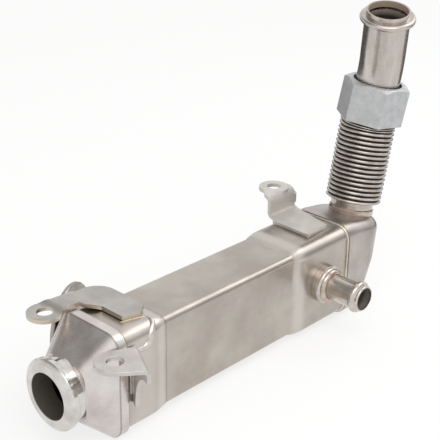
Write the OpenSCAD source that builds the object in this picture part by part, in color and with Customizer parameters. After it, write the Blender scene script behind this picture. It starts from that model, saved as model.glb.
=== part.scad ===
// Exhaust gas cooler: a rectangular stainless shell round a stack of flat gas tubes,
// with a clamp flange inlet, a scoop outlet, a flexible outlet pipe, two coolant ports
// and three folded brackets. The gas runs along +X and leaves upwards.
// The origin is the centre of the inlet flange's face; the shell's axis is the X axis.

/* [Shell] */
// Width of the shell between its collars
shell_w = 38.4; // [36:0.2:44]
// Height of the shell between its collars
shell_h = 54.4; // [53:0.2:62]
// Outside radius of the shell's long edges
shell_edge_r = 3.8; // [2.6:0.1:5]
// Sheet thickness of the shell
shell_t = 1.2; // [0.8:0.1:1.6]
// How far the swaged collars stand out from the shell
swage = 2.6; // [2:0.1:4]
// Outside radius of the collars' long edges
collar_edge_r = 8; // [6:0.1:9]
// Straight length of the inlet collar
inlet_collar_l = 24.4; // [24:0.2:32]
// Length of each swaged ramp
ramp_l = 11.4; // [8:0.2:14]
// Length of the shell between the ramps
mid_l = 103; // [80:1:180]
// Straight length of the outlet collar
outlet_collar_l = 46; // [44:0.5:56]

/* [Gas tubes] */
// Number of flat gas tubes in the stack
tube_count = 7; // [3:1:7]
// Outside width of a gas tube
tube_w = 33.6; // [28:0.2:34]
// Outside height of a gas tube
tube_h = 5.2; // [4:0.1:5.6]
// Wall of a gas tube
tube_t = 0.5; // [0.3:0.05:0.8]
// Distance from one gas tube to the next
tube_pitch = 7.2; // [6.6:0.1:7.4]
// Thickness of the tube plates
plate_t = 1.6; // [1:0.1:2.5]
// How far the gas tubes stand out of the tube plates
tube_end = 1; // [0.5:0.1:2]
// Sheet thickness of the corrugated fins
fin_t = 0.2; // [0.15:0.05:0.3]
// Distance from one fin wave to the next
fin_pitch = 3.2; // [2.4:0.1:4]
// Thickness of the coolant baffles
baffle_t = 1; // [0.6:0.1:1.5]
// Height that each baffle leaves open to the coolant
baffle_gap = 10; // [6:0.5:14]

/* [Inlet] */
// Radius of the flange's bore
flange_bore_r = 13; // [10:0.25:14]
// Outside radius of the flange's sealing face
flange_face_r = 16.5; // [15.5:0.1:17.5]
// Radius of the flange's clamp rim
flange_rim_r = 20; // [19:0.25:23]
// Depth of the bevel in front of the rim
flange_bevel_l = 2.2; // [1.5:0.1:3]
// Length of the rim
flange_rim_l = 3.2; // [2.5:0.1:4.5]
// Radius of the hub behind the rim
flange_hub_r = 18; // [17.6:0.1:18.8]
// Length of the hub behind the rim
flange_hub_l = 4.6; // [3:0.2:7]
// Outside radius of the diffuser's round neck
diffuser_neck_r = 17.2; // [16.8:0.1:17.6]
// Length of the diffuser's round neck
diffuser_neck_l = 3; // [2:0.2:5]
// Length of the diffuser's cone
diffuser_cone_l = 15.4; // [12:0.2:24]
// How far the diffuser's flats lie inside the line of its round neck
diffuser_flat = 0.8; // [0.4:0.1:1.2]
// Radius of the diffuser's corners at its neck
diffuser_corner_r = 8; // [6:0.5:11]
// Length of the skirts that slip over the collars
skirt_l = 5.6; // [4:0.2:8]
// Sheet thickness of the diffuser and the outlet cap
cap_t = 1.5; // [1:0.1:2]

/* [Outlet cap] */
// Length of the cap from its rim to its round end
cap_l = 46; // [42:0.5:56]
// Radius that rounds the cap's top edge
cap_edge_r = 7; // [4:0.5:9]
// Reach that the cap's end loses from its top to its middle
cap_draw_mid = 4.4; // [2:0.2:7]
// Reach that the cap's end loses from its top to its lower part
cap_draw_low = 11.6; // [8:0.2:15]
// Height above and below the axis at which the cap's end is drawn in
cap_level = 17; // [14:0.5:19]
// Distance from the cap's rim to the middle of the outlet pipe
pipe_x = 31; // [28:0.5:33]
// Lean of the outlet pipe and the cap's top
pipe_lean = 11.8; // [8:0.1:14]

/* [Outlet pipe] */
// Outside radius of the outlet tube
pipe_r = 14; // [13.5:0.1:14.5]
// Outside radius of the neck on the cap
neck_r = 13.2; // [12:0.1:13.8]
// Wall of the outlet tube and the neck
pipe_t = 1.2; // [0.8:0.1:1.6]
// Length of the neck from the cap to the bellows
neck_l = 8; // [6:0.2:18]
// Height of the ring at the neck's foot
neck_ring_h = 3.4; // [2:0.1:5]
// How far the ring stands out from the neck
neck_ring_t = 1.2; // [0.6:0.1:2]
// Number of waves in the bellows
wave_count = 16; // [8:1:22]
// Distance from one wave to the next
wave_pitch = 3; // [2.8:0.05:3.6]
// Height of a wave
wave_h = 3.4; // [2:0.1:4.5]
// Wall of the bellows
wave_t = 0.4; // [0.3:0.05:0.5]
// Length of the bellows' end cuffs
cuff_l = 4; // [3:0.2:6]
// Radius of the tube's bends on its middle line
bend_r = 60; // [45:1:90]
// Length of the straight stretch between the bends
bend_gap = 18; // [17:0.5:28]
// Length of the tube after its last bend
tube_end_l = 31; // [27:0.5:60]
// Radius of the rolled bead's section
bead_r = 1.9; // [1.4:0.1:2.4]
// How far the bead's middle stands out from the tube
bead_out = 3.2; // [2.6:0.1:3.6]
// Length of the lip beyond the bead
lip_l = 4.9; // [3:0.1:6]
// How far the lip is drawn in from the tube
lip_in = 0.5; // [0.2:0.1:0.9]

/* [Union nut] */
// Width across the nut's flats
nut_af = 37.5; // [37:0.5:42]
// Height of the nut
nut_h = 25; // [22:0.5:28]
// Thickness of the nut's shoulder
nut_shoulder = 6; // [4:0.5:8]
// Radial play between the nut's shoulder and the tube
nut_play = 1.6; // [0.6:0.1:1.8]
// Wall between the nut's flats and its chamber
nut_wall = 1.9; // [1.5:0.1:2]
// Height of the ferrule under the nut's shoulder
ferrule_h = 3; // [2:0.5:4]

/* [Coolant spigot] */
// Distance from the shell's outlet end to the spigot's axis
spigot_back = 29; // [27:0.5:34]
// Height of the spigot's axis
spigot_z = 1.1; // [-6:0.1:6]
// Outside radius of the spigot tube
spigot_r = 8; // [6:0.25:9]
// Wall of the spigot tube
spigot_t = 1; // [0.8:0.1:1.4]
// Radius of the boss that carries the spigot
spigot_boss_r = 12; // [11.5:0.25:14]
// Height of the boss that carries the spigot
spigot_boss_h = 6; // [4:0.25:9]
// Length of the spigot tube beyond its boss
spigot_l = 25.4; // [20:0.2:40]
// How far the spigot's bead stands out
spigot_bead = 1.75; // [1:0.05:2]

/* [Coolant inlet] */
// Distance from the shell's inlet end to the coolant neck
coolant_x = 22.3; // [21:0.1:24]
// Height of the coolant neck
coolant_z = 8.8; // [4:0.1:9]
// Swing of the coolant neck towards the inlet
coolant_swing = 26; // [20:1:27]
// Outside radius of the coolant neck
coolant_r = 8; // [7:0.25:8.5]
// Wall of the coolant neck
coolant_t = 1.2; // [0.8:0.1:1.6]
// Distance from the shell's side to the flange's back
coolant_l = 14.6; // [14:0.1:18]
// Radius of the coolant flange
coolant_flange_r = 24.2; // [20:0.1:24.5]
// Thickness of the coolant flange
coolant_flange_t = 2.4; // [2:0.1:4]

/* [Brackets] */
// Sheet thickness of the brackets
bracket_t = 2.3; // [1.8:0.1:2.5]
// Radius of the bolt holes in the brackets
bolt_r = 4.5; // [3.5:0.25:4.75]
// Radius of the front eye
front_eye_r = 9.8; // [9:0.1:11]
// Radius of the side eye
side_eye_r = 10.5; // [9:0.1:11]
// Radius of the rear eye
rear_eye_r = 9.5; // [9:0.1:11]
// Height of the rear bracket's wall
rear_wall_h = 13.2; // [11:0.2:20]

/* [Hidden] */

$fn = 64;
// Clearance of brazed and welded pieces that slip into one another
braze_gap = 0.1;
// Overshoot of cutters
over = 1;
// Broken edge of the turned flanges
flange_edge = 0.6;
// Thinning of the tube's wall in its bends, and the bends' lap into the straight stretches
bend_thin = 0.04;
bend_lap = 0.6;
// Steps of each rounded edge, ramp steps and steps of hulled rounds
edge_steps = 10;
ramp_steps = 6;
hull_fn = 40;
// Thickness of the slices that the drawn forms are stretched over
slice = 0.5;
// Slope of chamfers on the nut and the neck's ring
chamfer_slope = 30;

// The shell widens with its gas tubes, and the stack holds as many tubes as the shell has room for
tube_clear = 0.2;
body_w = max(shell_w, tube_w + 2 * (shell_t + tube_clear));
stack_room = shell_h - 2 * (shell_t + tube_clear) - tube_h;
tubes = min(tube_count, 1 + floor(stack_room / tube_pitch));
stack_h = (tubes - 1) * tube_pitch;

// The chain of places along the gas path
hub_x = flange_bevel_l + flange_rim_l;
neck_x = hub_x + flange_hub_l;
cone_x = neck_x + diffuser_neck_l;
skirt_x = cone_x + diffuser_cone_l;
seat_x = skirt_x + cap_t;
ramp_x = seat_x + inlet_collar_l;
mid_x = ramp_x + ramp_l;
ramp2_x = mid_x + mid_l;
collar2_x = ramp2_x + ramp_l;
shell_end_x = collar2_x + outlet_collar_l;
rim_x = shell_end_x - skirt_l;
collar_w = body_w + 2 * swage;
collar_h = shell_h + 2 * swage;
skirt_w = collar_w + 2 * (braze_gap + cap_t);
skirt_h = collar_h + 2 * (braze_gap + cap_t);
skirt_edge_r = collar_edge_r + braze_gap + cap_t;

// Tube stack
plate1_x = seat_x + cap_t;
plate2_x = shell_end_x - cap_t - plate_t;
tubes_x = plate1_x - tube_end;
tubes_l = plate2_x + plate_t + tube_end - tubes_x;

// Outlet pipe: foot of the neck on the cap's sloping top
foot = [rim_x + pipe_x, 0, skirt_h / 2 - (pipe_x - skirt_l) * tan(pipe_lean)];
wave_root_r = pipe_r + braze_gap + wave_t;
bellows_l = wave_count * wave_pitch;
tube_s = neck_l + bellows_l;

// A rounded rectangle across the X axis as points, from the +Y side round by the top
function corner(y, z, r, a) = [for (i = [0:edge_steps])
    let (b = a + 90 * i / edge_steps) [y + r * cos(b), z + r * sin(b)]];
function section(w, h, r) = concat(
    corner(w / 2 - r, h / 2 - r, r, 0), corner(r - w / 2, h / 2 - r, r, 90),
    corner(r - w / 2, r - h / 2, r, 180), corner(w / 2 - r, r - h / 2, r, 270));

// Skin through stations of [x, width, height, edge radius]
module loft(stations) {
    rings = [for (s = stations) [for (p = section(s[1], s[2], s[3])) [s[0], p[0], p[1]]]];
    n = len(rings[0]);
    last = len(rings) - 1;
    sides = [for (k = [0:last - 1], i = [0:n - 1])
        [k * n + i, (k + 1) * n + i, (k + 1) * n + (i + 1) % n, k * n + (i + 1) % n]];
    ends = [[for (i = [0:n - 1]) i], [for (i = [n - 1:-1:0]) last * n + i]];
    polyhedron([for (ring = rings) each ring], concat(ends, sides), convexity = 6);
}

// Flat rounded rectangle
module rounded(w, h, r) {
    square([w - 2 * r, h], center = true);
    square([w, h - 2 * r], center = true);
    for (y = [-1, 1], z = [-1, 1])
        translate([y * (w / 2 - r), z * (h / 2 - r)]) circle(r);
}

// Outline of the skirts that slip over the collars
module skirt_outline(inset)
    rounded(skirt_w - 2 * inset, skirt_h - 2 * inset, skirt_edge_r - inset, $fn = hull_fn);

// A flat outline stood across the X axis and drawn out along it
module along_x(x, l) translate([x, 0, 0]) rotate([90, 0, 90]) linear_extrude(l) children();

// A flat outline turned round the X axis; the outline's Y runs along X
module turn_x() rotate([90, 0, 90]) rotate_extrude() children();

// Shell section at a share k of the ramp: 0 at the collar, 1 at the shell's middle
function grown(x, k, inset) = [x,
    body_w + 2 * swage * cos(90 * k) - 2 * inset,
    shell_h + 2 * swage * cos(90 * k) - 2 * inset,
    shell_edge_r + (collar_edge_r - shell_edge_r) * cos(90 * k) - inset];
function shell_stations(inset, extra) = concat(
    [grown(seat_x - extra, 0, inset)],
    [for (i = [0:ramp_steps]) grown(ramp_x + ramp_l * i / ramp_steps, i / ramp_steps, inset)],
    [for (i = [0:ramp_steps]) grown(ramp2_x + ramp_l * i / ramp_steps, 1 - i / ramp_steps, inset)],
    [grown(shell_end_x + extra, 0, inset)]);

// Places of the two coolant ports
module at_spigot()
    translate([shell_end_x - spigot_back, -collar_w / 2, spigot_z]) rotate([90, 0, 0]) children();
module at_coolant()
    translate([seat_x + coolant_x, collar_w / 2, coolant_z])
        rotate([0, 0, coolant_swing]) rotate([-90, 0, 0]) children();

module inlet_flange() {
    edge = flange_edge;
    spigot_out_r = diffuser_neck_r - cap_t - braze_gap;
    color("gainsboro") turn_x() polygon([
        [flange_bore_r, 0], [flange_face_r, 0], [flange_rim_r - edge, flange_bevel_l - edge],
        [flange_rim_r, flange_bevel_l], [flange_rim_r, hub_x - edge], [flange_rim_r - edge, hub_x],
        [flange_hub_r, hub_x], [flange_hub_r, neck_x], [spigot_out_r, neck_x],
        [spigot_out_r, cone_x], [flange_bore_r, cone_x]]);
}

// The diffuser's pyramid: from a rounded square at the neck to the skirt
module diffuser_form(inset, front) {
    neck_w = 2 * (diffuser_neck_r - diffuser_flat - inset);
    hull() {
        along_x(cone_x - front, front + slice)
            rounded(neck_w, neck_w, diffuser_corner_r - inset, $fn = hull_fn);
        along_x(skirt_x, skirt_l) skirt_outline(inset);
    }
}

module inlet_diffuser() {
    color("rosybrown") difference() {
        union() {
            diffuser_form(0, cap_t);
            along_x(neck_x, diffuser_neck_l) circle(diffuser_neck_r);
        }
        diffuser_form(cap_t, 0);
        along_x(neck_x - over, diffuser_neck_l + 2 * over) circle(diffuser_neck_r - cap_t);
        along_x(skirt_x + cap_t, skirt_l) skirt_outline(cap_t);
    }
}

module shell() {
    color("silver") difference() {
        loft(shell_stations(0, 0));
        loft(shell_stations(shell_t, over));
        at_spigot() cylinder(h = 4 * shell_t, r = spigot_r + braze_gap, center = true);
        at_coolant() cylinder(h = 2 * coolant_r, r = coolant_r + braze_gap, center = true);
    }
}

// Outline of one gas tube
module tube_outline(inset) {
    square([tube_w - tube_h, tube_h - 2 * inset], center = true);
    for (side = [-1, 1])
        translate([side * (tube_w - tube_h) / 2, 0]) circle(tube_h / 2 - inset);
}

module each_tube() for (i = [0:tubes - 1]) translate([0, i * tube_pitch - stack_h / 2]) children();

module tube_plate(x) {
    along_x(x, plate_t) difference() {
        rounded(collar_w - 2 * (shell_t + braze_gap), collar_h - 2 * (shell_t + braze_gap),
            collar_edge_r - shell_t - braze_gap);
        each_tube() tube_outline(-braze_gap);
    }
}

module front_tube_plate() color("darkgray") tube_plate(plate1_x);

module rear_tube_plate() color("darkgray") tube_plate(plate2_x);

module gas_tubes() {
    color("lightgray") along_x(tubes_x, tubes_l) each_tube() difference() {
        tube_outline(0);
        tube_outline(tube_t);
    }
}

// Square wave of sheet that fills a tube's flat width
module fin_outline() {
    fin_h = tube_h - 2 * tube_t - 2 * braze_gap;
    waves = floor((tube_w - tube_h) / fin_pitch);
    for (i = [0:waves - 1]) translate([(i - waves / 2) * fin_pitch, 0]) {
        translate([0, -fin_h / 2]) square([fin_t, fin_h]);
        translate([fin_pitch / 2, -fin_h / 2]) square([fin_t, fin_h]);
        translate([0, fin_h / 2 - fin_t]) square([fin_pitch / 2 + fin_t, fin_t]);
        translate([fin_pitch / 2, -fin_h / 2]) square([fin_pitch / 2 + fin_t, fin_t]);
    }
}

module gas_fins()
    color("gray") along_x(tubes_x + tube_end, tubes_l - 2 * tube_end) each_tube() fin_outline();

module baffle_plates() {
    color("darkgray") for (side = [-1, 1])
        along_x(mid_x + mid_l * (3 + side) / 6, baffle_t) difference() {
            rounded(body_w - 2 * (shell_t + braze_gap), shell_h - 2 * (shell_t + braze_gap),
                shell_edge_r - shell_t - braze_gap);
            each_tube() tube_outline(-braze_gap);
            translate([0, side * (shell_h - baffle_gap) / 2])
                square([body_w, baffle_gap], center = true);
        }
}

// Scoop of the outlet cap: a drawn box with a round, drawn-in end
module cap_form(inset, extra) {
    end_r = skirt_w / 2;
    top_x = rim_x + cap_l - end_r * cos(pipe_lean);
    top_z = skirt_h / 2 - (top_x - rim_x - skirt_l) * tan(pipe_lean);
    hull() {
        along_x(rim_x - extra, skirt_l + extra) skirt_outline(inset);
        translate([top_x, 0, top_z]) rotate([0, pipe_lean, 0]) translate([0, 0, -cap_edge_r])
            rotate_extrude($fn = hull_fn)
                translate([end_r - cap_edge_r, 0]) circle(cap_edge_r - inset, $fn = hull_fn);
        for (level = [[cap_draw_mid, 0], [cap_draw_low, cap_level]])
            translate([top_x - level[0], 0, -level[1]])
                cylinder(h = slice, r = end_r - inset, $fn = hull_fn);
    }
}

// The line of the outlet pipe: its foot, its lean and places along it
module on_pipe(s) translate(foot) rotate([0, pipe_lean, 0]) translate([0, 0, s]) children();

module outlet_cap() {
    color("silver") difference() {
        cap_form(0, 0);
        cap_form(cap_t, over);
        translate([rim_x - skirt_h, -skirt_h / 2, -skirt_h / 2]) cube(skirt_h);
        on_pipe(0) cylinder(h = 6 * cap_t, r = neck_r + braze_gap, center = true);
    }
}

module outlet_neck() {
    color("tan") on_pipe(-2 * cap_t) difference() {
        cylinder(h = 2 * cap_t + neck_l, r = neck_r);
        translate([0, 0, -over]) cylinder(h = 2 * cap_t + neck_l + 2 * over, r = neck_r - pipe_t);
    }
}

module neck_ring() {
    color("tan") on_pipe(0) rotate_extrude() difference() {
        translate([neck_r + braze_gap, 0]) square([neck_ring_t, neck_ring_h]);
        translate([neck_r + neck_ring_t, neck_ring_h]) rotate(-chamfer_slope) square(neck_ring_t);
    }
}

// One wave of the bellows from its root: a round crest on straight flanks
crest_share = 0.64;
crest_fn = 24;
module wave_outline(r, crest_w) {
    translate([0, -crest_w / 2]) square([r - crest_w / 2, crest_w]);
    translate([r - crest_w / 2, 0]) circle(crest_w / 2, $fn = crest_fn);
}

module bellows() {
    crest_w = wave_pitch * crest_share;
    color("dimgray") on_pipe(neck_l) rotate_extrude() difference() {
        union() {
            translate([0, -cuff_l]) square([neck_r + braze_gap + wave_t, cuff_l + wave_t]);
            square([wave_root_r, bellows_l + cuff_l]);
            for (i = [0:wave_count - 1])
                translate([0, (i + 0.5) * wave_pitch]) wave_outline(wave_root_r + wave_h, crest_w);
        }
        translate([0, -cuff_l - over]) square([neck_r + braze_gap, cuff_l + 2 * over]);
        translate([0, wave_t]) square([wave_root_r - wave_t, bellows_l + cuff_l]);
        for (i = [0:wave_count - 1])
            translate([0, (i + 0.5) * wave_pitch])
                wave_outline(wave_root_r + wave_h - wave_t, crest_w - 2 * wave_t);
    }
}

// Directions of the pipe: along the bellows, through the nut and after the last bend
dir1 = [sin(pipe_lean), 0, cos(pipe_lean)];
dir2 = unit([0.112, -0.118, 0.987]);
dir3 = unit([-0.17, -0.17, 0.97]);
bend1_s = tube_s + cuff_l;
bend1_p = foot + bend1_s * dir1;
bend1_end = bend_to(bend1_p, dir1, dir2);
bend2_p = bend1_end + bend_gap * dir2;
bend2_end = bend_to(bend2_p, dir2, dir3);

function unit(v) = v / norm(v);
function angle(a, b) = acos(a * b);
function side(a, b) = unit(b - (a * b) * a);
function bend_to(p, a, b) =
    p + bend_r * (sin(angle(a, b)) * a + (1 - cos(angle(a, b))) * side(a, b));

// Places a child at a point with its Z along a direction and its X towards a side
module stand(p, a, s) {
    t = cross(a, s);
    multmatrix([[s[0], t[0], a[0], p[0]], [s[1], t[1], a[1], p[1]], [s[2], t[2], a[2], p[2]]])
        children();
}

// Wall of the outlet tube as a flat ring, thinned from both sides by a margin
module tube_ring(thin) difference() {
    circle(pipe_r - thin);
    circle(pipe_r - pipe_t + thin);
}

// A tube bend from one direction to the next: bending thins the wall a little,
// so the bend laps inside the walls of the straight stretches at both ends
module bend(p, a, b) {
    s = side(a, b);
    c = p + bend_r * s;
    t = cross(-s, a);
    lap = asin(bend_lap / bend_r);
    multmatrix([[-s[0], a[0], t[0], c[0]], [-s[1], a[1], t[1], c[1]], [-s[2], a[2], t[2], c[2]]])
        rotate([0, 0, -lap]) rotate_extrude(angle = angle(a, b) + 2 * lap)
            translate([bend_r, 0]) tube_ring(bend_thin);
}

// A straight stretch of the tube
module straight(p, a, l) stand(p, a, side(a, [0, 1, 0])) linear_extrude(l) tube_ring(0);

// Half section of the tube's end: straight wall, a bead rolled from the wall and a lip
bead_z = tube_end_l - lip_l;
bead_mid_r = pipe_r + bead_out - bead_r;
bead_groove_r = bead_r / 2;
module tube_end_profile() difference() {
    union() {
        square([pipe_r, bead_z]);
        translate([0, bead_z - bead_r]) square([bead_mid_r, 2 * bead_r]);
        translate([bead_mid_r, bead_z]) circle(bead_r);
        translate([0, bead_z]) square([pipe_r - lip_in, lip_l]);
    }
    translate([0, -over]) square([pipe_r - pipe_t, bead_z + over]);
    translate([0, bead_z - bead_groove_r]) square([bead_mid_r, 2 * bead_groove_r]);
    translate([bead_mid_r, bead_z]) circle(bead_groove_r);
    translate([0, bead_z]) square([pipe_r - lip_in - pipe_t, lip_l + over]);
}

module outlet_tube() {
    color("silver") {
        straight(foot + tube_s * dir1, dir1, cuff_l);
        bend(bend1_p, dir1, dir2);
        straight(bend1_end, dir2, bend_gap);
        bend(bend2_p, dir2, dir3);
        stand(bend2_end, dir3, side(dir3, [0, 1, 0])) rotate_extrude() tube_end_profile();
    }
}

// The nut stands on the straight stretch between the bends; one corner faces this way
nut_top = bend2_p;
nut_corner = [-0.61, -0.79, 0];
nut_chamfer = 0.6;
chamber_r = nut_af / 2 - nut_wall;
module at_nut(s) stand(nut_top + s * dir2, dir2, side(dir2, nut_corner)) children();

// The ferrule on the tube leaves the nut free to turn
ferrule_gap = 0.3;
ferrule_play = 0.5;
module tube_ferrule() {
    color("gray") at_nut(-nut_shoulder - ferrule_gap - ferrule_h) difference() {
        cylinder(h = ferrule_h, r = chamber_r - ferrule_play);
        translate([0, 0, -over]) cylinder(h = ferrule_h + 2 * over, r = pipe_r + braze_gap);
    }
}

module union_nut() {
    color("lightsteelblue") at_nut(-nut_h) difference() {
        intersection() {
            cylinder(h = nut_h, d = nut_af / cos(30), $fn = 6);
            rotate_extrude() difference() {
                square([nut_af, nut_h]);
                translate([nut_af / 2 - nut_chamfer, nut_h]) rotate(-chamfer_slope) square(nut_af);
            }
        }
        translate([0, 0, -over]) cylinder(h = nut_h + 2 * over, r = pipe_r + nut_play);
        translate([0, 0, -over]) cylinder(h = nut_h - nut_shoulder + over, r = chamber_r);
    }
}

module spigot_boss() {
    groove_r = 1.8;
    color("tan") at_spigot() rotate_extrude() difference() {
        translate([spigot_r + braze_gap, 0])
            square([spigot_boss_r - spigot_r - braze_gap, spigot_boss_h]);
        translate([spigot_boss_r, spigot_boss_h]) circle(groove_r);
    }
}

module spigot_ring() {
    fillet_r = 2.6;
    color("peru") at_spigot() translate([0, 0, spigot_boss_h]) rotate_extrude()
        translate([spigot_r + braze_gap, 0]) intersection() {
            circle(fillet_r);
            square(fillet_r);
        }
}

module coolant_spigot() {
    l = spigot_boss_h + spigot_l;
    bead_back = 4.4;
    bead_round = 2.4;
    lip_r = 1;
    color("tan") at_spigot() rotate_extrude() difference() {
        union() {
            translate([0, -3 * shell_t]) square([spigot_r, l + 3 * shell_t - lip_r]);
            translate([0, l - 2 * lip_r]) square([spigot_r - lip_r, 2 * lip_r]);
            translate([spigot_r - lip_r, l - lip_r]) circle(lip_r);
            translate([spigot_r + spigot_bead - bead_round, l - bead_back]) circle(bead_round);
        }
        translate([0, -3 * shell_t - over]) square([spigot_r - spigot_t, l + 3 * shell_t + 2 * over]);
    }
}

module coolant_neck() {
    l = coolant_l + coolant_flange_t;
    color("gray") intersection() {
        at_coolant() translate([0, 0, -coolant_r]) difference() {
            cylinder(h = coolant_r + l, r = coolant_r);
            translate([0, 0, -over]) cylinder(h = coolant_r + l + 2 * over, r = coolant_r - coolant_t);
        }
        translate([seat_x, body_w / 2, -shell_h / 2]) cube(shell_h);
    }
}

module coolant_flange() {
    r = coolant_flange_r;
    color("gray") at_coolant() translate([0, 0, coolant_l]) rotate_extrude()
        polygon([[coolant_r + braze_gap, 0], [r - flange_edge, 0], [r, flange_edge],
            [r, coolant_flange_t], [coolant_r + braze_gap, coolant_flange_t]]);
}

// Brackets rest on the collars
top_z = collar_h / 2;
fold_r = 2;

// A path with its corners rounded: each corner is a curve that starts d before it
bend_steps = 4;
function rounded_path(pts, d) = concat([pts[0]],
    [for (i = [1:len(pts) - 2], k = [0:bend_steps])
        let (b = pts[i], u = unit(pts[i - 1] - b) * d, v = unit(pts[i + 1] - b) * d, t = k / bend_steps)
        b + (1 - t) * (1 - t) * u + t * t * v],
    [pts[len(pts) - 1]]);
function across(pts, i) =
    let (d = unit(pts[min(i + 1, len(pts) - 1)] - pts[max(i - 1, 0)])) [-d[1], d[0]];

// A bent sheet's edge: the path is the sheet's middle line
module sheet_profile(pts, t) {
    n = len(pts) - 1;
    polygon(concat(
        [for (i = [0:n]) pts[i] + across(pts, i) * t / 2],
        [for (i = [n:-1:0]) pts[i] - across(pts, i) * t / 2]));
}

// A quarter fold with its inside corner at the origin: it turns from +X up to +Y
module fold_profile(r = fold_r) difference() {
    intersection() {
        circle(r + bracket_t);
        translate([0, -r - bracket_t]) square(r + bracket_t);
    }
    circle(r);
}

// The front bracket: a pad on the collar, a heel at its far side and a strap that steps
// over the diffuser's skirt and ends in the eye
front_eye_ahead = 10;
front_eye_out = 25;
front_eye = [seat_x - front_eye_ahead, front_eye_out];
pad_end = 32;
pad_start = 15;
step_top = 10.5;
step_end = -2;
eye_bend = -6.5;
strap_end = -24;
module front_top_bracket() {
    x = seat_x;
    skirt_gap = 0.3;
    step_down = 2.4;
    flat_z = top_z + bracket_t / 2;
    lift_z = skirt_h / 2 + skirt_gap + bracket_t / 2;
    eye_z = lift_z - step_down;
    path = [[x + pad_end, flat_z], [x + pad_start, flat_z], [x + step_top, lift_z],
        [x + step_end, lift_z], [x + eye_bend, eye_z], [x + strap_end, eye_z]];
    pad_front = x + 13.4;
    pad_back = x + 31.5;
    pad_tip = [x + 23.5, -12];
    heel = [x + 19, 18];
    heel_r = 12.5;
    strap_near = 16.4;
    strap_far = 34;
    sheet_w = 60;
    color("darkgray") intersection() {
        translate([0, 2 * sheet_w / 3, 0]) rotate([90, 0, 0]) linear_extrude(sheet_w)
            sheet_profile(rounded_path(path, fold_r), bracket_t);
        linear_extrude(collar_h) difference() {
            union() {
                translate(front_eye) circle(front_eye_r);
                polygon([[front_eye[0], strap_near], [x - 2, strap_near + 2.2], [pad_front, strap_near - 1],
                    [pad_front, pad_tip[1] + 3], pad_tip, [pad_back, pad_tip[1] + 6], [pad_back, heel[1]],
                    heel + [0, heel_r], [x + 8, strap_far - 4.6], [x - 4, strap_far - 3.5],
                    [front_eye[0], strap_far]]);
                translate(heel) circle(heel_r);
            }
            translate(front_eye) circle(bolt_r);
        }
    }
}

// The side bracket's web runs outwards from the collar at this turn about Z
side_turn = -118.7;
side_foot_back = 9.6;
side_foot_x = seat_x + side_foot_back;
side_eye_z = 27;
side_eye = [19.5, -14];
module side_bracket() {
    fold_x = 8.5;
    fold_l = 23.5;
    web_top = side_eye_z - bracket_t - fold_r;
    web_low = -11;
    web_back = 3;
    web_curve_r = 30;
    foot_l = 4.6;
    foot_low = -4;
    foot_h = 19;
    inner = bracket_t / 2 + fold_r;
    color("darkgray") translate([side_foot_x, -collar_w / 2, 0]) difference() {
        union() {
            rotate([0, 0, side_turn]) {
                translate([0, 0, side_eye_z - bracket_t]) linear_extrude(bracket_t) difference() {
                    union() {
                        polygon([[fold_x, -inner], [fold_x + fold_l, -inner],
                            side_eye + [side_eye_r, 0], side_eye - [side_eye_r, 0]]);
                        translate(side_eye) circle(side_eye_r);
                    }
                    translate(side_eye) circle(bolt_r);
                }
                translate([fold_x, -inner, web_top]) rotate([90, 0, 90])
                    linear_extrude(fold_l) mirror([0, 1]) fold_profile();
                rotate([90, 0, 0]) linear_extrude(bracket_t, center = true) difference() {
                    translate([-web_back, web_low])
                        square([fold_x + fold_l + web_back, web_top - web_low]);
                    translate([fold_x + fold_l + 4, web_low]) circle(web_curve_r);
                }
            }
            translate([-foot_l, -bracket_t, foot_low]) cube([foot_l, bracket_t, foot_h]);
        }
        translate([-collar_w, 0, -collar_h]) cube(2 * collar_h);
    }
}

// The rear bracket: a plate on the collar, a wall folded up at its far side,
// an eye folded outwards from the wall's top and a stiffening fold at the wall's end
rear_x = collar2_x + 11;
rear_wall_x = rear_x + 6;
rear_wall_l = 24;
rear_wall_y = collar_w / 2 + 1;
eye_fold_r = 3;
rear_fold_y = rear_wall_y + bracket_t + eye_fold_r;
rear_eye = [rear_x + 20.6, rear_fold_y + 4.8];
module rear_top_bracket() {
    wall_end = rear_wall_x + rear_wall_l;
    eye_z = top_z + bracket_t + rear_wall_h;
    low_z = top_z + bracket_t + fold_r;
    high_z = eye_z - bracket_t - eye_fold_r;
    plate_y = rear_wall_y - fold_r;
    near_y = -12.5;
    end_fold_l = 3;
    color("darkgray") {
        translate([rear_x, 0, top_z]) linear_extrude(bracket_t)
            polygon([[0.6, near_y], [20.6, near_y + 1.7], [29.2, plate_y],
                [6, plate_y], [1.6, plate_y - 4]]);
        translate([rear_wall_x, plate_y, low_z])
            rotate([90, 0, 90]) linear_extrude(rear_wall_l) fold_profile();
        translate([rear_wall_x, rear_wall_y, low_z]) cube([rear_wall_l, bracket_t, high_z - low_z]);
        translate([wall_end, rear_wall_y + bracket_t + fold_r, low_z]) linear_extrude(high_z - low_z) {
            fold_profile();
            translate([fold_r, 0]) square([bracket_t, end_fold_l]);
        }
        translate([rear_wall_x, rear_fold_y, high_z])
            rotate([90, 0, 90]) linear_extrude(rear_wall_l) rotate(180) fold_profile(eye_fold_r);
        translate([0, 0, eye_z - bracket_t]) linear_extrude(bracket_t) difference() {
            union() {
                polygon([[rear_wall_x, rear_fold_y], [wall_end, rear_fold_y],
                    rear_eye + [rear_eye_r, 0], rear_eye - [rear_eye_r, 0]]);
                translate(rear_eye) circle(rear_eye_r);
            }
            translate(rear_eye) circle(bolt_r);
        }
    }
}

inlet_flange();
inlet_diffuser();
shell();
front_tube_plate();
rear_tube_plate();
gas_tubes();
gas_fins();
baffle_plates();
outlet_cap();
outlet_neck();
neck_ring();
bellows();
outlet_tube();
tube_ferrule();
union_nut();
spigot_boss();
spigot_ring();
coolant_spigot();
coolant_neck();
coolant_flange();
front_top_bracket();
side_bracket();
rear_top_bracket();
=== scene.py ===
import math

import bmesh
import bpy
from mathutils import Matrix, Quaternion, Vector


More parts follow.
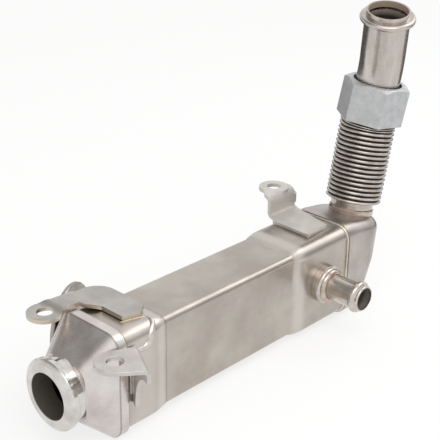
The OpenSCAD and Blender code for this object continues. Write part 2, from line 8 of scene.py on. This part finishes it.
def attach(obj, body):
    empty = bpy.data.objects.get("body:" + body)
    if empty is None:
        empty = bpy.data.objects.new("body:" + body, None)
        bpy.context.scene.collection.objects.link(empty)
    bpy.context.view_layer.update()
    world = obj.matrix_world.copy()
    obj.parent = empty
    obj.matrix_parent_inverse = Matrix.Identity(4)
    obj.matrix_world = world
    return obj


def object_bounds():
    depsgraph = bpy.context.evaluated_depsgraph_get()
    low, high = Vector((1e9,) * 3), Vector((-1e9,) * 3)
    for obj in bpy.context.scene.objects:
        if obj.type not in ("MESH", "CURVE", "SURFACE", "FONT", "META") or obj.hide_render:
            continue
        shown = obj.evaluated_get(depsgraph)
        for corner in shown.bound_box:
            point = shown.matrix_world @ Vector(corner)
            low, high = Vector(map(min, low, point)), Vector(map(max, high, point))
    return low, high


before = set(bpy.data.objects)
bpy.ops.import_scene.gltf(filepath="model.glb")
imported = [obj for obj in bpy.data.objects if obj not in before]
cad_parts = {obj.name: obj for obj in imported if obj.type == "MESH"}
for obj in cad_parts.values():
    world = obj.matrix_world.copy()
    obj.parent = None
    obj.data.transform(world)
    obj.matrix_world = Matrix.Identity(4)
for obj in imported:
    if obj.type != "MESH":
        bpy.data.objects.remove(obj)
cad_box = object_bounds()


# The inside: a stack of flat stainless gas tubes with folded fins, held by two tube plates and baffles,
# and the ferrule under the nut. The stack slides into the shell, and all its joints are brazed in a furnace.
mm = 0.001  # a millimetre, in the frame's metres


def linear(code):
    """An sRGB hex colour as linear red, green, blue and alpha."""
    parts = [int(code[i:i + 2], 16) / 255 for i in (1, 3, 5)]
    return [p / 12.92 if p <= 0.04045 else ((p + 0.055) / 1.055) ** 2.4 for p in parts] + [1.0]


def add(tree, kind, inputs=None, **settings):
    """A shader node with its settings, its values and its links."""
    made = tree.nodes.new("ShaderNode" + kind)
    for name, value in settings.items():
        setattr(made, name, value)
    for name, value in (inputs or {}).items():
        if isinstance(value, bpy.types.NodeSocket):
            tree.links.new(value, made.inputs[name])
        else:
            made.inputs[name].default_value = value
    return made


def stainless(name, tone, shade, roughness, cloud_mm, grain_mm, bump_mm=0.002,
              lathe=None, painted_inner_shading=(), cut=None, painted_bands=()):
    """Steel in clouds of two tones, with a finer grain. All sizes are in millimetres.

    cloud_mm and grain_mm are sizes along the three axes. A pixel of the render is about 0.5 mm wide,
    so a grain that is finer than that is drawn 0.5 mm wide or more, for it to show.
    lathe is a point and an axis that the grain runs round.
    The inner layers paint shade into the inside of a pipe or a groove, and light at a pipe's mouth, as dull
    colour that is not metal.
    Each has a mouth and the way out of it, the radii where it is full and gone, the depths where it starts
    and is full, and its colour.
    cut is the colour of upright faces, where the sheet was cut.
    The bands go round the cooler: painted shade in a crease, or painted light on a collar or a swage.
    Each has its place along the cooler, its half width, its colour and how much of it shows."""
    steel = bpy.data.materials.new(name)
    steel.use_nodes = True
    tree = steel.node_tree
    surface = tree.nodes["Principled BSDF"]
    place = add(tree, "TexCoord").outputs["Object"]

    def round_axis(point_mm, axis):
        """How far a place lies along an axis, and from it."""
        arm = add(tree, "VectorMath", {0: place, 1: Vector(point_mm) * mm}, operation="SUBTRACT").outputs[0]
        unit = Vector(axis).normalized()
        along = add(tree, "VectorMath", {0: arm, 1: unit}, operation="DOT_PRODUCT").outputs["Value"]
        across = add(tree, "VectorMath", {0: arm, 1: unit}, operation="CROSS_PRODUCT").outputs[0]
        return along, add(tree, "VectorMath", {0: across}, operation="LENGTH").outputs["Value"]

    per_cloud = [1 / (size * mm) for size in cloud_mm]
    cloud_place = add(tree, "Mapping", {"Vector": place, "Scale": per_cloud}).outputs[0]
    cloud = add(tree, "TexNoise", {"Vector": cloud_place, "Scale": 1.0,
                                   "Detail": 4.0, "Roughness": 0.55}).outputs["Fac"]
    if lathe:
        along, radius = round_axis(*lathe)
        grain_from = add(tree, "CombineXYZ", {"X": along, "Y": radius}).outputs[0]
    else:
        grain_from = place
    per_grain = [1 / (size * mm) for size in grain_mm]
    grain_place = add(tree, "Mapping", {"Vector": grain_from, "Scale": per_grain}).outputs[0]
    grain = add(tree, "TexNoise", {"Vector": grain_place, "Scale": 1.0,
                                   "Detail": 3.0, "Roughness": 0.6}).outputs["Fac"]

    grain_share = 0.2
    mixed = add(tree, "Math", {0: grain, 1: grain_share, 2: cloud}, operation="MULTIPLY_ADD").outputs[0]
    tones = add(tree, "ValToRGB", {"Fac": mixed})
    shade_at, tone_at = 0.42, 0.78
    for stop, position, code in zip(tones.color_ramp.elements, (shade_at, tone_at), (shade, tone)):
        stop.position = position
        stop.color = linear(code)
    seen = tones.outputs[0]
    smoother, rougher = 0.04, 0.06
    rough = add(tree, "MapRange", {"Value": grain, "From Min": 0.3, "From Max": 0.7,
                                   "To Min": roughness - smoother,
                                   "To Max": roughness + rougher}).outputs[0]

    bare = 1.0
    painted_shading_roughness, painted_shading_cover = 0.7, 0.9
    # Painted shade in bores and grooves, and painted light at a pipe's mouth, as dull layers of colour.
    for layer in painted_inner_shading:
        along, radius = round_axis(layer["mouth"], layer["way"])
        full, gone = layer["radii"]
        start, deep = layer["depths"]
        within = add(tree, "MapRange", {"Value": radius, "From Min": full * mm, "From Max": gone * mm,
                                        "To Min": 1.0, "To Max": 0.0}).outputs[0]
        inward = add(tree, "MapRange", {"Value": along, "From Min": -deep * mm, "From Max": -start * mm,
                                        "To Min": 1.0, "To Max": 0.0}).outputs[0]
        dull = add(tree, "Math", {0: within, 1: inward}, operation="MULTIPLY").outputs[0]
        seen = add(tree, "Mix", {"Factor": dull, "A": seen, "B": linear(layer["colour"])},
                   data_type="RGBA").outputs["Result"]
        rough = add(tree, "Mix", {"Factor": dull, "A": rough, "B": painted_shading_roughness}).outputs["Result"]
        left = add(tree, "Math", {0: dull, 1: -painted_shading_cover, 2: 1.0}, operation="MULTIPLY_ADD").outputs[0]
        bare = add(tree, "Math", {0: left, 1: bare}, operation="MULTIPLY").outputs[0]
    if cut:
        facing = add(tree, "NewGeometry").outputs["Normal"]
        upward = add(tree, "SeparateXYZ", {0: facing}).outputs["Z"]
        level = add(tree, "Math", {0: upward}, operation="ABSOLUTE").outputs[0]
        upright_to, lying_from = 0.25, 0.6
        edge = add(tree, "MapRange", {"Value": level, "From Min": upright_to, "From Max": lying_from,
                                      "To Min": 1.0, "To Max": 0.0}).outputs[0]
        seen = add(tree, "Mix", {"Factor": edge, "A": seen, "B": linear(cut)},
                   data_type="RGBA").outputs["Result"]
    full_part = 0.2
    # Bands of painted shade in creases and painted light on collars and swages.
    for painted_band in painted_bands:
        half = painted_band["half"] * mm
        along = add(tree, "SeparateXYZ", {0: place}).outputs["X"]
        off = add(tree, "Math", {0: along, 1: painted_band["at"] * mm}, operation="SUBTRACT").outputs[0]
        apart = add(tree, "Math", {0: off}, operation="ABSOLUTE").outputs[0]
        near = add(tree, "MapRange", {"Value": apart, "From Min": full_part * half, "From Max": half,
                                      "To Min": painted_band["share"], "To Max": 0.0},
                   interpolation_type="SMOOTHSTEP").outputs[0]
        seen = add(tree, "Mix", {"Factor": near, "A": seen, "B": linear(painted_band["colour"])},
                   data_type="RGBA").outputs["Result"]

    bump = add(tree, "Bump", {"Height": grain, "Distance": bump_mm * mm, "Strength": 0.2})
    tree.links.new(seen, surface.inputs["Base Color"])
    tree.links.new(rough, surface.inputs["Roughness"])
    tree.links.new(bump.outputs[0], surface.inputs["Normal"])
    surface.inputs["Metallic"].default_value = 1.0
    if painted_inner_shading:
        tree.links.new(bare, surface.inputs["Metallic"])
    return steel


def dress(node, material, edge_mm, sharp_deg=32, flat=False):
    """Gives a solid its material, flat and round faces that meet cleanly, and broken edges."""
    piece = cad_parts[node]
    piece.data.materials.clear()
    piece.data.materials.append(material)
    if "custom_normal" in piece.data.attributes:
        piece.data.attributes.remove(piece.data.attributes["custom_normal"])
    piece.data.shade_smooth()
    weld = piece.modifiers.new("joined", "WELD")
    weld.merge_threshold = 0.001 * mm
    if flat:
        faces = piece.modifiers.new("whole_faces", "DECIMATE")
        faces.decimate_type = "DISSOLVE"
        faces.angle_limit = math.radians(0.5)
    if edge_mm:
        bevel = piece.modifiers.new("broken_edges", "BEVEL")
        bevel.width = edge_mm * mm
        bevel.segments = 2
        bevel.limit_method = "ANGLE"
        bevel.angle_limit = math.radians(sharp_deg)
    normals = piece.modifiers.new("true_faces", "WEIGHTED_NORMAL")
    normals.weight = 80


# Furnace-dull stainless: half matte, and painted a darker brown-grey as shade, so that the stack stays dim
# inside the bores.
dull_and_shaded_steel = stainless("dull_and_shaded_stainless", tone="#8d8781", shade="#6f6963", roughness=0.5,
                       cloud_mm=(6, 6, 6), grain_mm=(2, 1, 1))
for inner in ("front_tube_plate", "rear_tube_plate", "gas_tubes", "gas_fins", "baffle_plates",
              "tube_ferrule"):
    dress(inner, dull_and_shaded_steel, edge_mm=0)

# The shell: the coolant jacket, one tube of stainless sheet that was rolled along its length.
# Its ends are swaged out into collars, and it is slipped over the stack and brazed.
near_collar, near_swage, near_crease, far_swage = 46.0, 60.0, 64.6, 175.0

# Satin sheet: a soft grey sheen drawn out along the shell, with wide faint clouds from the furnace,
# painted light on the near collar and on both swages, and a line of painted shade in the near crease.
satin_sheet = stainless("satin_stainless_sheet", tone="#bfb8af", shade="#aaa199", roughness=0.31,
                        cloud_mm=(26, 26, 26), grain_mm=(14, 0.7, 0.7),
                        painted_bands=[{"at": near_collar, "half": 16.0, "share": 0.35, "colour": "#dfd9d3"},
                                 {"at": near_swage, "half": 5.0, "share": 0.35, "colour": "#e2ddd8"},
                                 {"at": near_crease, "half": 1.0, "share": 0.45, "colour": "#6b625a"},
                                 {"at": far_swage, "half": 6.5, "share": 0.35, "colour": "#e6e2dd"}])
dress("shell", satin_sheet, edge_mm=0.2)

# The end pieces: a diffuser that widens from the round flange to the shell, and a scoop cap
# that turns the gas upwards. Both are drawn from stainless sheet in a press,
# slipped over the shell's collars and brazed all round.
skirt_crease = 28.5

# Drawn sheet: smoother and brighter than the shell, with mauve shadows from the furnace
# and a line of painted shade in the crease where the diffuser's skirt starts.
drawn_sheet = stainless("drawn_stainless_sheet", tone="#dcd7d3", shade="#c3bab6", roughness=0.27,
                        cloud_mm=(17, 17, 17), grain_mm=(9, 4, 4),
                        painted_bands=[{"at": skirt_crease, "half": 0.8, "share": 0.5, "colour": "#5f564f"}])
dress("inlet_diffuser", drawn_sheet, edge_mm=0.3, sharp_deg=20)

# Darkened drawn sheet: the same drawn sheet, a little rougher and painted darker, as painted shade on the
# cap.
shade_darkened_sheet = stainless("shade_darkened_stainless_sheet", tone="#beb8b3", shade="#a49c97", roughness=0.31,
                             cloud_mm=(17, 17, 17), grain_mm=(9, 4, 4))
dress("outlet_cap", shade_darkened_sheet, edge_mm=0.3)

# The clamp flange: a ring with a conical rim for a band clamp, turned from stainless bar
# and brazed into the diffuser's neck. Its bore is painted dark and dull, as painted shade.
flange_face = (0, 0, 0)
flange_bore = 13.0

# Turned bright stainless: clear highlights, with fine rings from the lathe round it.
# The rings are drawn about three times as coarse as real ones so that they show.
turned_flange = stainless("turned_bright_stainless", tone="#dcd9d5", shade="#c2bdb8", roughness=0.11,
                          cloud_mm=(8, 8, 8), grain_mm=(0.5, 0.5, 1), lathe=(flange_face, (1, 0, 0)),
                          painted_inner_shading=[{"mouth": flange_face, "way": (-1, 0, 0), "depths": (-1, 0.5),
                                 "radii": (flange_bore, flange_bore + 0.3), "colour": "#565047"}])
dress("inlet_flange", turned_flange, edge_mm=0.25)

# The outlet neck and its ring: a short stainless tube that carries the bellows,
# set upright in a ring on the cap. Both are brazed in place.

# Brazed stainless: bright metal with brown and straw-coloured tints from the braze and the heat.
brazed_steel = stainless("brazed_stainless", tone="#cbbdb1", shade="#a39185", roughness=0.22,
                         cloud_mm=(6, 6, 6), grain_mm=(3, 3, 1))
dress("outlet_neck", brazed_steel, edge_mm=0.15)
dress("neck_ring", brazed_steel, edge_mm=0.15)

# The bellows: thin stainless tube rolled into waves, so that the pipe can flex. It is brazed to the neck.
# Its last two waves lean over towards the nut, so they are a piece of their own.
bellows_end = Vector((262.95, 0.0, 80.91))
bellows_way = Vector((0.2045, 0.0, 0.9789))
bellows_long = 46.5
first_wave = bellows_end - bellows_long * bellows_way

# Rolled stainless: bright on its crests, with painted shade, dark and dull, down in its grooves.
rolled_steel = stainless("rolled_bellows_stainless", tone="#cec7c0", shade="#aca49c", roughness=0.19,
                         cloud_mm=(7, 7, 7), grain_mm=(2, 2, 0.8),
                         painted_inner_shading=[{"mouth": first_wave, "way": -bellows_way, "depths": (0, 0.5),
                                "radii": (14.8, 17.2), "colour": "#453f39"}])
dress("bellows", rolled_steel, edge_mm=0)

scene = bpy.context.scene


def fix_to_cooler(name, shape, material):
    """Puts a new mesh or curve on the cooler."""
    shape.materials.append(material)
    piece = bpy.data.objects.new(name, shape)
    scene.collection.objects.link(piece)
    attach(piece, "cooler")
    return piece


def loft(name, rings_mm, closed, material):
    """A piece made of rings of points, each joined to the next. A closed one ends where it starts."""
    form = bmesh.new()
    rings = [[form.verts.new(point * mm) for point in ring] for ring in rings_mm]
    next_rings = rings[1:] + (rings[:1] if closed else [])
    for this, following in zip(rings, next_rings):
        for i in range(len(this)):
            form.faces.new((this[i - 1], this[i], following[i], following[i - 1]))
    if not closed:
        form.faces.new(rings[0])
        form.faces.new(rings[-1])
    bmesh.ops.recalc_face_normals(form, faces=form.faces)
    mesh = bpy.data.meshes.new(name)
    form.to_mesh(mesh)
    form.free()
    mesh.shade_smooth()
    return fix_to_cooler(name, mesh, material)


nut_way = Vector((0.112, -0.118, 0.987))
wave_root, wave_crest, wave_pitch = 14.3, 17.9, 3.0
wave_middle, crest_half = 0.5 * wave_pitch, 0.32 * wave_pitch
# The two waves stand a little closer than the rest, and from 5 mm up they lean as the nut's tube does.
squeezed, leant_after = 0.3, 5.0
wave = [(wave_middle - crest_half, wave_root)]
for step in range(-90, 91, 15):
    angle = math.radians(step)
    wave.append((wave_middle + crest_half * math.sin(angle),
                 wave_crest - crest_half + crest_half * math.cos(angle)))
wave.append((wave_middle + crest_half, wave_root))
profile = [(along + i * (wave_pitch - squeezed), radius) for i in range(2) for along, radius in wave]
facets = 96
turns = [2 * math.pi * i / facets for i in range(facets)]
rings = []
for along, radius in profile:
    lean = bellows_way.lerp(nut_way, min(along / leant_after, 1.0)).normalized()
    out = Vector((0, 1, 0)).cross(lean).normalized()
    side = lean.cross(out)
    middle = bellows_end + bellows_way * along
    rings.append([middle + radius * (math.cos(turn) * out + math.sin(turn) * side) for turn in turns])
loft("bellows_last_waves", rings, True, rolled_steel)

# The outlet tube: drawn stainless tube that goes on from the bellows, bent twice,
# with a bead rolled near its end for a hose clip.
tube_mouth, tube_way = (261.4, -10.4, 158.6), (-0.17, -0.17, 0.97)

# Drawn tube: faint bright and dark lines from the die along it, drawn wider than real ones so that they show.
# Its inner wall is painted a matte tan at the mouth, as painted light in place of what it reflects, and dark
# and dull further in, as painted shade.
drawn_tube = stainless("drawn_tube_stainless", tone="#cec7c1", shade="#b4aba4", roughness=0.26,
                       cloud_mm=(6, 6, 70), grain_mm=(0.8, 0.8, 22),
                       painted_inner_shading=[{"mouth": tube_mouth, "way": tube_way, "depths": (-1, 0),
                              "radii": (12.75, 12.95), "colour": "#a59686"},
                             {"mouth": tube_mouth, "way": tube_way, "depths": (7, 10),
                              "radii": (13.2, 13.4), "colour": "#3d352e"}])
dress("outlet_tube", drawn_tube, edge_mm=0.15)

# The union nut: a hexagon of plated steel, loose on the outlet tube, where its shoulder sits on the ferrule.
# It is made from bar, with its corners well rounded.

# Matte zinc: a pale blue-grey coat with little shine and a fine even grain, drawn coarser so that it shows.
zinc = stainless("matte_zinc_plate", tone="#cccdce", shade="#babbbc", roughness=0.52,
                 cloud_mm=(5, 5, 5), grain_mm=(0.8, 0.8, 0.8), bump_mm=0.02)
dress("union_nut", zinc, edge_mm=1.0)

# The coolant spigot: a turned stainless tube with a bead that holds the hose.
# It stands in a raised boss on the far collar, with a ring of braze round it.
spigot_x, spigot_mouth, spigot_z = 197.1, -53.2, 1.1

# Turned spigot: a softer shine than the flange, with rings from the lathe, drawn coarser so that they show.
# Its bore is painted dark and dull, as painted shade.
turned_spigot = stainless("turned_spigot_stainless", tone="#d4cdc5", shade="#bbb2a9", roughness=0.2,
                          cloud_mm=(7, 7, 7), grain_mm=(0.6, 0.6, 1),
                          lathe=((spigot_x, 0, spigot_z), (0, 1, 0)),
                          painted_inner_shading=[{"mouth": (spigot_x, spigot_mouth, spigot_z), "way": (0, -1, 0),
                                 "depths": (0, 6), "radii": (7.1, 7.3), "colour": "#5e564e"}])
dress("coolant_spigot", turned_spigot, edge_mm=0.15)
dress("spigot_boss", turned_spigot, edge_mm=0.15)
dress("spigot_ring", brazed_steel, edge_mm=0.15)

# The coolant flange and its neck: a round flange on a short tube, on the side away from the spigot.
# Both are pressed from stainless sheet and brazed to the shell.

# Pressed sheet: a darker, smooth skin with brown-grey clouds.
pressed_sheet = stainless("pressed_stainless_sheet", tone="#b3aca5", shade="#948c86", roughness=0.25,
                          cloud_mm=(11, 11, 11), grain_mm=(2, 2, 2))
dress("coolant_flange", pressed_sheet, edge_mm=0.2)
dress("coolant_neck", pressed_sheet, edge_mm=0.2)

# The brackets: three plates, each with an eye for a bolt, cut and folded from stainless plate
# and brazed to the two ends of the cooler.

# Rolled plate: a flat grey skin, with straw-coloured braze along its cut edges.
plate_steel = stainless("rolled_stainless_plate", tone="#c0bcb7", shade="#aeaaa5", roughness=0.42,
                        cloud_mm=(12, 12, 12), grain_mm=(0.9, 0.9, 0.9), cut="#cfc4b4")
dress("front_top_bracket", plate_steel, edge_mm=0.3, flat=True)

# Lightened plate for the rear bracket: the plate painted paler, as painted light, and too rough to show more
# than a soft sheen.
lightened_rear_plate = stainless("lightened_rear_stainless_plate", tone="#dedad5", shade="#cecac4", roughness=0.6,
                         cloud_mm=(12, 12, 12), grain_mm=(0.9, 0.9, 0.9))
dress("rear_top_bracket", lightened_rear_plate, edge_mm=0.3, flat=True)

# Lightened plate for the side bracket: the plate painted paler and even, as painted light, with a dull shine.
lightened_side_plate = stainless("lightened_side_stainless_plate", tone="#d3cec9", shade="#c4bfba", roughness=0.46,
                       cloud_mm=(8, 8, 8), grain_mm=(0.7, 0.7, 0.7))
dress("side_bracket", lightened_side_plate, edge_mm=0.3, flat=True)


# The braze: filler metal that melted in the furnace and froze as a fillet round the edge of each skirt
# and along the brackets. From the front bracket it ran on over the collar's corner.
def braze_run(name, points_mm, closed, order, material):
    """A rounded run of braze along a path of points, each with the run's radius there in millimetres."""
    path = bpy.data.curves.new(name, "CURVE")
    path.dimensions = "3D"
    path.bevel_depth = mm
    path.bevel_resolution = 4
    path.use_fill_caps = not closed
    path.resolution_u = 8
    spline = path.splines.new("NURBS")
    spline.points.add(len(points_mm) - 1)
    for knot, (x, y, z, radius) in zip(spline.points, points_mm):
        knot.co = (x * mm, y * mm, z * mm, 1.0)
        knot.radius = radius
    spline.order_u = order
    spline.use_cyclic_u = closed
    spline.use_endpoint_u = not closed
    fix_to_cooler(name, path, material)


# Braze is smooth with small clouds. It is pale and bright where it ran freely, and tan along the front
# bracket.
# On the outlet skirt it is cream with a painted highlight; in the inlet skirt's step and along the rear
# bracket it is brown and dull, as painted shade.
braze_cloud, braze_grain = (6, 6, 6), (1.5, 1.5, 1.5)
pale_braze = stainless("frozen_braze", "#d4cfc9", "#bdb5ac", 0.27, braze_cloud, braze_grain)
tan_braze = stainless("tan_braze", "#cdbda9", "#b3a08a", 0.34, braze_cloud, braze_grain)
cream_highlit_braze = stainless("creamy_highlit_braze", "#e6ded2", "#d2c7b8", 0.34, braze_cloud, braze_grain)
shade_dark_braze = stainless("shade_darkened_braze", "#a09181", "#7c6d5e", 0.4, braze_cloud, braze_grain)

collar_half_w, collar_half_h, collar_round = 21.8, 29.8, 8.0
fillet_r, fillet_proud = 0.8, 0.2
fillet_bend = collar_round + fillet_proud
inlet_skirt_end, outlet_skirt_end = 34.0, 220.5
# The inlet skirt's run is painted shade, and the outlet skirt's run is cream with a painted highlight.
for name, x, material in (("braze_at_inlet_skirt", inlet_skirt_end + fillet_r / 2, shade_dark_braze),
                          ("braze_at_outlet_skirt", outlet_skirt_end - fillet_r / 2, cream_highlit_braze)):
    loop = []
    for turn, side_y, side_z in ((0, 1, 1), (90, -1, 1), (180, -1, -1), (270, 1, -1)):
        for step in range(0, 91, 15):
            angle = math.radians(turn + step)
            loop.append((x, side_y * (collar_half_w - collar_round) + fillet_bend * math.cos(angle),
                         side_z * (collar_half_h - collar_round) + fillet_bend * math.sin(angle), fillet_r))
    braze_run(name, loop, True, 2, material)
braze_run("braze_along_front_bracket",
          [(42.0, -8.8, 29.5, 0.6), (47.0, -10.2, 29.5, 0.9), (51.5, -11.6, 29.5, 0.9),
           (54.2, -12.6, 29.2, 1.0)], False, 3, tan_braze)
braze_run("braze_along_rear_bracket",
          [(192.6, 14.0, 29.7, 0.4), (192.3, 3.0, 29.8, 0.6), (191.6, -12.4, 29.8, 0.6),
           (199.0, -12.0, 29.8, 0.5), (208.0, -11.2, 29.8, 0.4)], False, 2, shade_dark_braze)


def on_collar(x, way):
    """A place on the collar, so far round it from where the corner starts on top, and its way out."""
    turn = min(max(way / collar_round, 0.0), math.pi / 2)
    out = Vector((0, -math.sin(turn), math.cos(turn)))
    corner = Vector((x, collar_round - collar_half_w, collar_half_h - collar_round))
    on_top, down_side = min(way, 0.0), max(way - collar_round * math.pi / 2, 0.0)
    return corner + collar_round * out - Vector((0, on_top, down_side)), out


# Where the run over the corner lies: along the cooler, round the collar, and its half width and height there.
stations = ((52.6, -2.6, 0.8, 0.8), (55.6, -0.6, 1.4, 1.1), (56.8, 2.6, 1.9, 1.5), (55.8, 5.6, 2.2, 1.7),
            (53.6, 8.6, 2.4, 1.7), (51.6, 12.0, 2.5, 1.7), (50.6, 15.2, 2.8, 1.8), (47.4, 16.8, 2.5, 1.6),
            (44.4, 16.4, 1.9, 1.2), (42.2, 15.6, 0.9, 0.8))
# Its section, in shares of the half width and height, is a low ridge, sunk a little in the collar.
ridge = ((-1, 0), (-0.6, 0.75), (0, 1.25), (0.6, 0.75), (1, 0), (0.5, -0.5), (-0.5, -0.5))
sunk = 0.5
spots = [on_collar(x, way) for x, way, half, high in stations]
rings = []
for i, (x, way, half, high) in enumerate(stations):
    spot, out = spots[i]
    ahead = spots[min(i + 1, len(spots) - 1)][0] - spots[max(i - 1, 0)][0]
    across = out.cross(ahead).normalized()
    rings.append([spot + half * b * across + (high * h - sunk) * out for b, h in ridge])
corner_run = loft("braze_over_corner", rings, False, pale_braze)
flowed = corner_run.modifiers.new("flowed", "SUBSURF")
flowed.levels = 2
flowed.render_levels = 2


# The studio: a floor of white paper, even white light with two darker parts of the room,
# two soft lamps overhead, and a dark flag on the paper that only the metal sees.
def sheet(name, corners, material):
    """A flat sheet of the studio."""
    mesh = bpy.data.meshes.new(name)
    mesh.from_pydata(corners, [], [range(len(corners))])
    mesh.materials.append(material)
    made = bpy.data.objects.new(name, mesh)
    scene.collection.objects.link(made)
    return made


# White paper: matte, so that it takes the shadow, with a share of plain white
# that the camera and the metal see.
paper = bpy.data.materials.new("white_paper")
paper.use_nodes = True
tree = paper.node_tree
tree.nodes.clear()
white_share = 0.74
matte = add(tree, "BsdfDiffuse", {"Color": linear("#f4f3f2")})
glow = add(tree, "Emission", {"Color": linear("#ffffff"), "Strength": 1.0})
rays = add(tree, "LightPath")
shown = add(tree, "Math", {0: rays.outputs["Is Camera Ray"], 1: rays.outputs["Is Glossy Ray"]},
            operation="MAXIMUM")
share = add(tree, "Math", {0: shown.outputs[0], 1: white_share}, operation="MULTIPLY")
both = add(tree, "MixShader", {"Fac": share.outputs[0], 1: matte.outputs[0], 2: glow.outputs[0]})
add(tree, "OutputMaterial", {"Surface": both.outputs[0]})
reach = 4.0
low = cad_box[0].z - 0.2 * mm
sheet("floor", [(x * reach, y * reach, low) for x, y in ((-1, -1), (1, -1), (1, 1), (-1, 1))], paper)

# Grey felt: dull and dark, for the metal to mirror. The flag lies on the paper behind the cooler,
# square to the camera's view.
felt = bpy.data.materials.new("grey_felt")
felt.use_nodes = True
felt_surface = felt.node_tree.nodes["Principled BSDF"]
felt_surface.inputs["Base Color"].default_value = linear("#4c4a48")
felt_surface.inputs["Roughness"].default_value = 0.9
away = Vector((0.733, 0.681, 0.0))
right = Vector((0.681, -0.733, 0.0))
flag_from, flag_deep, flag_half = 0.34, 0.8, 0.7
near_edge = away * flag_from + Vector((0, 0, low + mm))
far_edge = near_edge + away * flag_deep
flag = sheet("flag_behind", [near_edge - right * flag_half, near_edge + right * flag_half,
                             far_edge + right * flag_half, far_edge - right * flag_half], felt)
flag.visible_camera = False
flag.visible_diffuse = False
flag.visible_shadow = False

world = bpy.data.worlds.new("white_room")
scene.world = world
world.use_nodes = True
tree = world.node_tree
sky = tree.nodes["Background"]
sky.inputs["Color"].default_value = linear("#ffffff")
rays = add(tree, "LightPath")
toward = add(tree, "TexCoord").outputs["Generated"]
level = 1.0
# Darker parts of the room: their direction, inner and outer angle, and how much light they keep.
for direction, inner, outer, kept in (((-0.39, 0.62, 0.68), 12, 45, 0.38),
                                      ((0.68, -0.72, 0.08), 5, 24, 0.35)):
    inside = add(tree, "VectorMath", {0: toward, 1: Vector(direction).normalized()},
                 operation="DOT_PRODUCT").outputs["Value"]
    dim = add(tree, "MapRange", {"Value": inside, "From Min": math.cos(math.radians(outer)),
                                 "From Max": math.cos(math.radians(inner)), "To Min": 1.0, "To Max": kept},
              interpolation_type="SMOOTHSTEP").outputs[0]
    level = add(tree, "Math", {0: dim, 1: level}, operation="MULTIPLY").outputs[0]
strength = add(tree, "Mix", {"Factor": rays.outputs["Is Camera Ray"], "A": level, "B": 1.0})
tree.links.new(strength.outputs["Result"], sky.inputs["Strength"])

cooler_middle = Vector((0.12, 0, 0.03))
for name, place, size, watts in (("softbox", (-0.2, -0.5, 0.9), (0.9, 0.6), 3.0),
                                 ("side_softbox", (0.8, -0.22, 0.72), (0.6, 0.5), 1.6)):
    lamp = bpy.data.lights.new(name, "AREA")
    lamp.shape = "RECTANGLE"
    lamp.size, lamp.size_y = size
    lamp.energy = watts
    held = bpy.data.objects.new(name, lamp)
    held.location = place
    held.rotation_mode = "QUATERNION"
    held.rotation_quaternion = (cooler_middle - held.location).to_track_quat("-Z", "Y")
    scene.collection.objects.link(held)

# The camera: a short telephoto lens at the photograph's viewing angle,
# looking down on the inlet end, a little rolled.
aim = Vector((0.6698, 0.6222, -0.4053))
roll_deg = 1.01
lens = bpy.data.cameras.new("camera")
lens.lens = 85.45
lens.sensor_width = 36.0
lens.clip_start = 0.01
camera = bpy.data.objects.new("camera", lens)
camera.location = (-0.2682, -0.3661, 0.2970)
camera.rotation_mode = "QUATERNION"
camera.rotation_quaternion = aim.to_track_quat("-Z", "Y") @ Quaternion((0, 0, 1), math.radians(roll_deg))
scene.collection.objects.link(camera)
scene.camera = camera
scene.view_settings.view_transform = "Standard"
